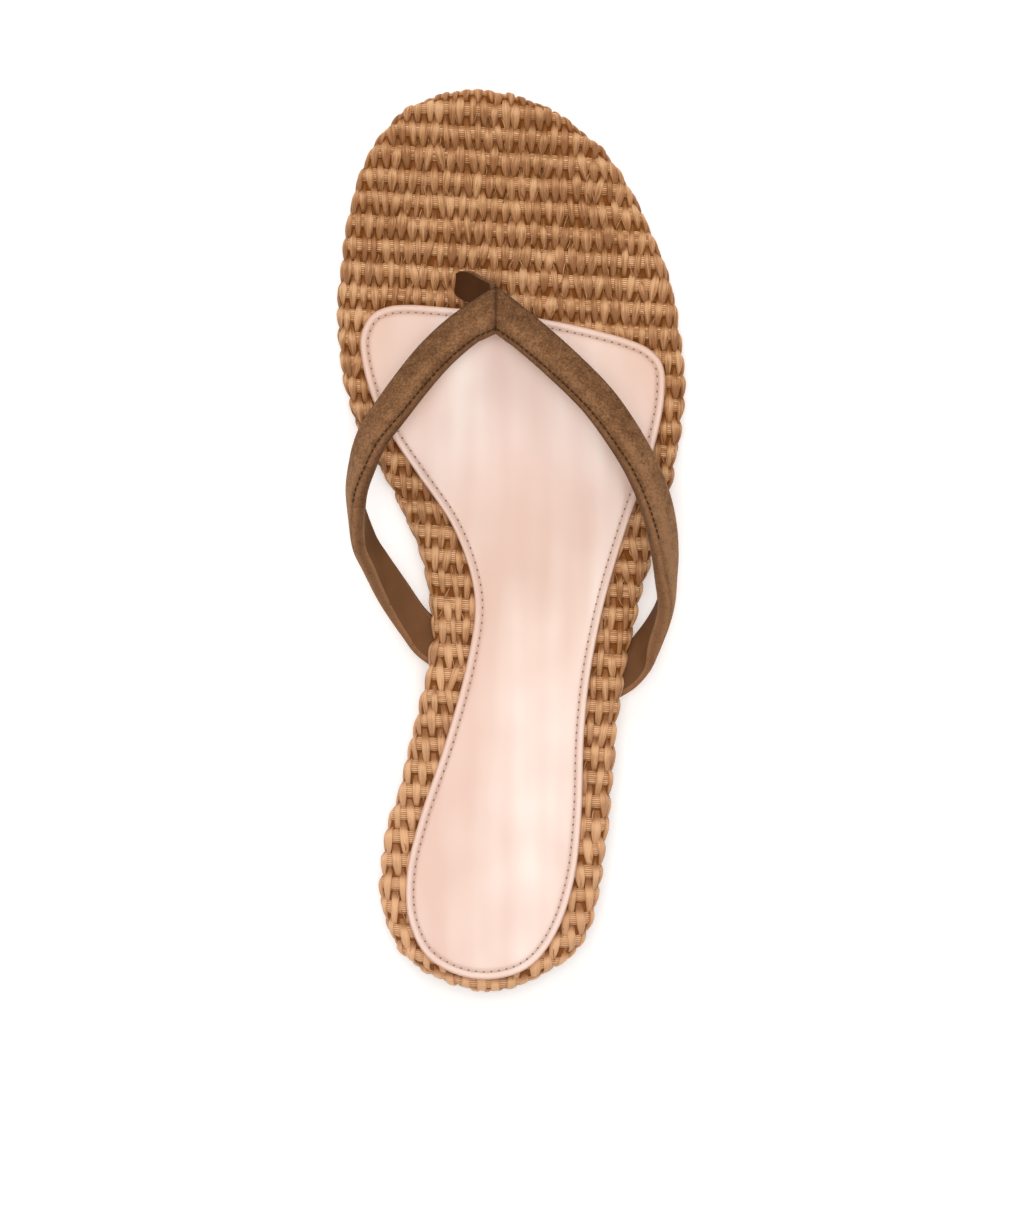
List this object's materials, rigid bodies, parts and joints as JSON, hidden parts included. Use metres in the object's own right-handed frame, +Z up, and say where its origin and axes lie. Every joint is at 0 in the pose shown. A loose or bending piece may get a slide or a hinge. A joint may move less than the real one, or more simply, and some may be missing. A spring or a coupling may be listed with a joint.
{
  "type": "toe post sandal",
  "caption": "Flat toe post sandal for a right foot: woven raffia footbed, leather insole pad, padded suede V strap.",
  "frame": {"origin": "bottom centre of the sandal's box, on the floor it stands on", "axes": "+Y to the toe, +X to the little toe's side, +Z up"},
  "size_m": [0.0966, 0.248, 0.0418],
  "materials": {
    "heel_lift": "stacked leather, satin",
    "outsole": "smooth sole leather",
    "footbed": "woven raffia over a board",
    "insole_pad": "glossy pale pink leather",
    "thong_strap": "brown suede with a smooth brown lining"
  },
  "bodies": {
    "root": {"heel_lift": "heel_lift", "outsole": "outsole", "footbed": "footbed", "insole_pad": "insole_pad", "thong_strap": "thong_strap"}
  },
  "joints": []
}
